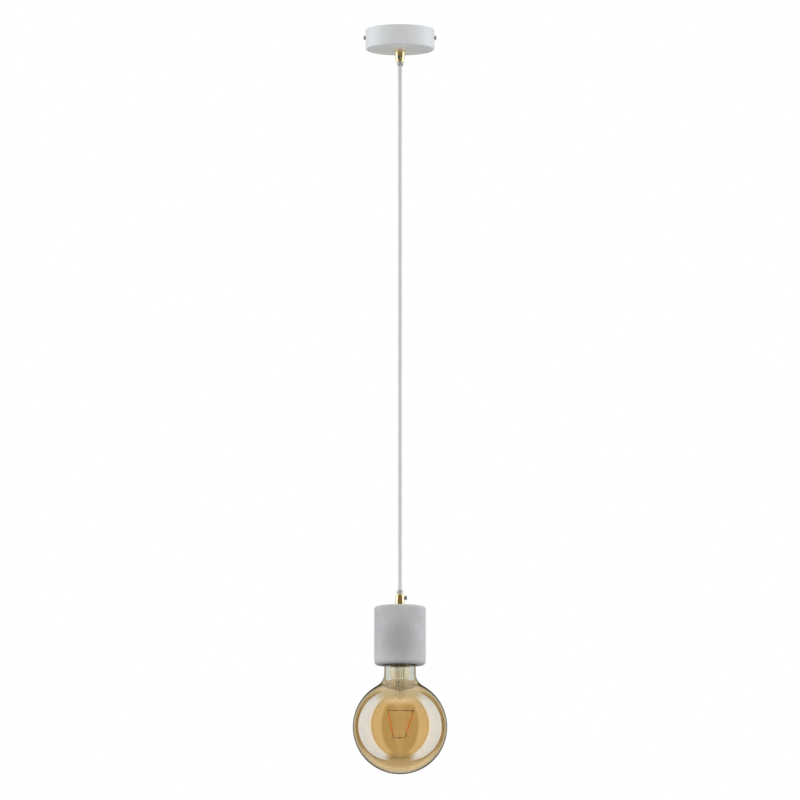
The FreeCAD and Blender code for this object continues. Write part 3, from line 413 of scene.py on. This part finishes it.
def glass_outline(inset):
    """Half outline of the glass from its cap end down, and the height of the globe's lowest point."""
    low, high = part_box("glass_envelope")
    globe_r = (high.x - low.x) / 2
    globe_z = low.z + globe_r
    neck, globe, bend = NECK_R - inset, globe_r - inset, NECK_FILLET_R + inset
    reach = neck + bend
    rise = math.sqrt((globe + bend) ** 2 - reach ** 2)
    meet = math.degrees(math.atan2(rise, reach))
    end_r = GLASS_END_R - inset
    shoulder_z = high.z - SHOULDER_FOOT
    drop = high.z - SHOULDER_TOP - inset * SHOULDER_INSET - shoulder_z
    out = [(end_r, high.z), (end_r, high.z - END_RING), (end_r, shoulder_z + drop + SHOULDER_RING)]
    for i in range(SHOULDER_STEPS + 1):
        angle = math.radians(90 * i / SHOULDER_STEPS)
        out.append((end_r + (neck - end_r) * math.sin(angle) ** SHOULDER_POWER,
                    shoulder_z + drop * math.cos(angle) ** SHOULDER_POWER))
    out += [(neck, shoulder_z + (globe_z + rise - shoulder_z) * i / 4) for i in (1, 2, 3)]
    out += arc((reach, globe_z + rise), bend, 180, 180 + meet, 14)
    out += arc((0, globe_z), globe, meet, -90, 84)[1:-1]
    return out, globe_z - globe


def glass_globe():
    """The bulb's glass as a smooth closed shell, outside and inside."""
    outer, outer_end = glass_outline(0.0)
    inner, inner_end = glass_outline(GLASS_T)
    n = GLASS_SEGMENTS
    points, faces = [], []
    for outline, end_z, flip in ((outer, outer_end, False), (inner, inner_end, True)):
        base = len(points)
        for r, z in outline:
            points += [(r * math.cos(2 * math.pi * i / n), r * math.sin(2 * math.pi * i / n), z)
                       for i in range(n)]
        pole = len(points)
        points.append((0, 0, end_z))
        rows = [tuple(base + i for i in face) for face in ring_faces(len(outline), n)]
        last = base + (len(outline) - 1) * n
        rows += [(last + i, last + (i + 1) % n, pole) for i in range(n)]
        faces += [face if flip else face[::-1] for face in rows]
    inner_base = len(outer) * n + 1
    faces += [(i, (i + 1) % n, inner_base + (i + 1) % n, inner_base + i) for i in range(n)]
    obj = piece("glass_globe", points, faces, "amber_glass")
    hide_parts("glass_envelope")
    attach(obj, "bulb")


CORD_R = 0.00265
CORD_RELIEF = 0.00007          # depth of the valleys between strands
CORD_SEGMENTS = 48
CORD_STEP = 0.00075            # length of one ring of the cord's mesh


def route_line(points, step):
    """Points along the smooth line that a cord's route gives, about this far apart."""
    curve = bpy.data.curves.new("route", "CURVE")
    curve.dimensions = "3D"
    spline = curve.splines.new("NURBS")
    spline.points.add(len(points) - 1)
    for control, place in zip(spline.points, points):
        control.co = (*place, 1.0)
    spline.order_u = 3
    spline.use_endpoint_u = True
    run = (Vector(points[1]) - Vector(points[0])).length
    spline.resolution_u = round(run / step)
    obj = bpy.data.objects.new("route", curve)
    mesh = bpy.data.meshes.new_from_object(obj)
    line = [v.co.copy() for v in mesh.vertices]
    bpy.data.objects.remove(obj)
    bpy.data.curves.remove(curve)
    bpy.data.meshes.remove(mesh)
    return line


def braid_height(turn, z):
    """0 in a valley of the braid to 1 on a strand, the same pattern as the textile's shading."""
    along = z * BRAID_TWIST
    first = abs(math.sin(BRAID_STRANDS * turn + along))
    second = abs(math.sin(along - BRAID_STRANDS * turn))
    return second if math.sin(BRAID_STRANDS * turn) * math.sin(along) > 0 else first


def braided_tube(name, line):
    """A hanging stretch of braided cord as a closed mesh tube along its line."""
    points = []
    for place in line:
        for j in range(CORD_SEGMENTS):
            turn = 2 * math.pi * j / CORD_SEGMENTS
            r = CORD_R - CORD_RELIEF * (1 - braid_height(turn, place.z))
            points.append((place.x + r * math.cos(turn), place.y + r * math.sin(turn), place.z))
    faces = [face[::-1] for face in ring_faces(len(line), CORD_SEGMENTS)]
    last = (len(line) - 1) * CORD_SEGMENTS
    faces.append(tuple(range(CORD_SEGMENTS)))
    faces.append(tuple(last + j for j in reversed(range(CORD_SEGMENTS))))
    return piece(name, points, faces, "cord_textile")


def cords():
    """The cord in two stretches that meet in the short link between the two swing axes."""
    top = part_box("cord_canopy_end")[1].z
    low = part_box("cord_drop")[0].z
    upper, lower = PIVOT_Z["swing_y"], PIVOT_Z["swing_x"]
    middle = (upper + lower) / 2
    head_line = route_line([(0, 0, top), (0, 0, middle)], CORD_STEP)
    drop_line = route_line([(0, 0, middle), (0, 0, low)], CORD_STEP)
    head = braided_tube("cord_head", head_line)
    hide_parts("cord_canopy_end", "cord_link")
    drop = braided_tube("cord_run", drop_line)
    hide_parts("cord_drop")
    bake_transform(head)
    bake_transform(drop)


# --- studio ---------------------------------------------------------------------------------------
FLOOR_Z = -4.3
FLOOR_SIZE = 240.0
FLOOR_GLOW = 0.42


def floor():
    """Pale floor far below. It is seen only from above, so that a low view isn't blocked, and it
    neither lights the object nor shows in it."""
    half = FLOOR_SIZE / 2
    mesh = bpy.data.meshes.new("floor")
    mesh.from_pydata([(-half, -half, FLOOR_Z), (half, -half, FLOOR_Z), (half, half, FLOOR_Z),
                      (-half, half, FLOOR_Z)], [], [(0, 1, 2, 3)])
    obj = bpy.data.objects.new("floor", mesh)
    bpy.context.scene.collection.objects.link(obj)
    material, g = new_material("floor_white")
    shader = g.add("ShaderNodeBsdfPrincipled", {"Base Color": rgb(0.85, 0.85, 0.85), "Roughness": 0.9,
                                                "Emission Color": rgb(1, 1, 1),
                                                "Emission Strength": FLOOR_GLOW})
    through = g.add("ShaderNodeBsdfTransparent")
    back = g.add("ShaderNodeNewGeometry").outputs["Backfacing"]
    both = g.add("ShaderNodeMixShader", {0: back, 1: shader.outputs[0], 2: through.outputs[0]})
    g.add("ShaderNodeOutputMaterial", {"Surface": both.outputs[0]})
    obj.data.materials.append(material)
    obj.visible_diffuse = False
    obj.visible_glossy = False
    obj.visible_transmission = False


# What the surfaces mirror, by the angle from the front round to the back. Each step is (from, to,
# change), the first two in degrees: a dim strip in front with dark beside it, a grey fall-off, a tall
# softbox, and a dark back with one paler strip.
MIRRORED_FRONT = 0.30
MIRRORED_STEPS = [(8, 18, -0.22), (43, 50, 0.68), (75, 78, 1.95), (92, 116, -0.55), (119, 127, -2.02),
                  (137, 145, 0.46), (156, 166, -0.58)]
SOFTBOX_START = (75, 78)
SOFTBOX_END = (119, 127)
SOFTBOX_TINT = rgb(0.80, 1.0, 1.22)
ROOM_TINT = rgb(1.06, 0.97, 0.72)
MIRRORED_ABOVE = 1.4
MIRRORED_BELOW = [(95, 125, 0.4)]
MIRRORED_SWEEP = 0.95          # the lit floor behind the light, as it curves up into the wall
ABOVE_HEIGHT = (44, 64)        # degrees of elevation at which the upper part begins and is full
BELOW_HEIGHT = (-56, -76)
SWEEP_HEIGHT = (-6, -36)
SWEEP_TURN = (124, 134)        # degrees from the front
# what lights the surfaces: the same studio, softened
LIT_FRONT = 0.50
LIT_STEPS = [(25, 75, 1.12), (90, 140, -0.8)]
LIT_ABOVE = 0.95
LIT_BELOW = 0.38
LIT_NEAR = 0.2                 # the direction's z at which above and below begin, and are full
LIT_FULL = 0.9


def passed(g, angle, first, last, change=1.0):
    """0 to change as the angle passes from the first to the last number of degrees."""
    return g.span(angle, math.radians(first), math.radians(last), 0.0, change, smooth=True)


def stepped(g, angle, start, steps):
    """start, plus each step's change as the angle passes it."""
    total = start
    for first, last, change in steps:
        total = g.math("ADD", passed(g, angle, first, last, change), total)
    return total


def grey(level):
    return rgb(level, level, level)


def room_light(level):
    """The room's colour at this brightness."""
    return rgb(*(level * channel for channel in ROOM_TINT[:3]))


def studio_world():
    """White behind everything that is seen directly or through glass. What the surfaces mirror, and
    what lights them, is a studio with a dark camera side and softboxes left and right."""
    world = bpy.data.worlds.new("studio")
    bpy.context.scene.world = world
    world.use_nodes = True
    world.cycles.sampling_method = "NONE"
    g = Graph(world.node_tree)
    split = g.add("ShaderNodeSeparateXYZ", {0: g.add("ShaderNodeTexCoord").outputs["Generated"]})
    forward = g.math("MULTIPLY", split.outputs["Y"], -1.0)
    turn = g.math("ARCTAN2", g.math("ABSOLUTE", split.outputs["X"]), forward)
    height = g.math("ARCSINE", split.outputs["Z"])
    softbox = g.math("SUBTRACT", passed(g, turn, *SOFTBOX_START), passed(g, turn, *SOFTBOX_END))
    side_tint = g.mix(softbox, ROOM_TINT, SOFTBOX_TINT)
    mirrored = g.mix(1.0, stepped(g, turn, MIRRORED_FRONT, MIRRORED_STEPS), side_tint, "MULTIPLY")
    sweep = g.math("MULTIPLY", passed(g, turn, *SWEEP_TURN), passed(g, height, *SWEEP_HEIGHT))
    mirrored = g.mix(sweep, mirrored, room_light(MIRRORED_SWEEP))
    mirrored = g.mix(passed(g, height, *ABOVE_HEIGHT), mirrored, room_light(MIRRORED_ABOVE))
    under = g.mix(1.0, stepped(g, turn, MIRRORED_FRONT, MIRRORED_BELOW), ROOM_TINT, "MULTIPLY")
    mirrored = g.mix(passed(g, height, *BELOW_HEIGHT), mirrored, under)
    lit = stepped(g, turn, LIT_FRONT, LIT_STEPS)
    lit = g.mix(g.span(split.outputs["Z"], LIT_NEAR, LIT_FULL), lit, grey(LIT_ABOVE))
    lit = g.mix(g.span(split.outputs["Z"], -LIT_NEAR, -LIT_FULL), lit, grey(LIT_BELOW))
    path = g.add("ShaderNodeLightPath")
    is_lit = g.math("GREATER_THAN", path.outputs["Diffuse Depth"], 0.5)
    is_mirrored = g.math("GREATER_THAN", path.outputs["Glossy Depth"], 0.5)
    tone = g.mix(is_mirrored, grey(1.0), mirrored)
    tone = g.mix(is_lit, tone, lit)
    background = g.add("ShaderNodeBackground", {"Color": tone, "Strength": 1.0})
    g.add("ShaderNodeOutputWorld", {"Surface": background.outputs[0]})


CAMERA_TURN = 0                # degrees from the front
CAMERA_ELEVATION = -7.5        # degrees, from below
CAMERA_DISTANCE = 12
CAMERA_LENS = 400              # mm
CAMERA_FILL = 0.93             # share of the picture's height that the light fills
GLASS_BOUNCES = 24
TRANSPARENT_BOUNCES = 16


def camera():
    """A long lens from below, aimed at the middle of the light."""
    middle = (CAD_LOW + CAD_HIGH) / 2
    a, e = math.radians(CAMERA_TURN), math.radians(CAMERA_ELEVATION)
    back = Vector((math.sin(a) * math.cos(e), -math.cos(a) * math.cos(e), math.sin(e)))
    data = bpy.data.cameras.new("camera")
    data.lens = CAMERA_LENS
    height = (CAD_HIGH.z - CAD_LOW.z) * math.cos(e)
    data.sensor_width = height / CAMERA_FILL / CAMERA_DISTANCE * CAMERA_LENS
    data.clip_end = 200
    obj = bpy.data.objects.new("camera", data)
    obj.location = middle + back * CAMERA_DISTANCE
    obj.rotation_euler = back.to_track_quat("Z", "Y").to_euler()
    bpy.context.scene.collection.objects.link(obj)
    bpy.context.scene.camera = obj


def main():
    dress_cad_nodes()
    glass_globe()
    cords()
    floor()
    studio_world()
    camera()
    scene = bpy.context.scene
    scene.view_settings.view_transform = "Standard"
    scene.cycles.max_bounces = GLASS_BOUNCES
    scene.cycles.transmission_bounces = GLASS_BOUNCES
    scene.cycles.transparent_max_bounces = TRANSPARENT_BOUNCES


main()
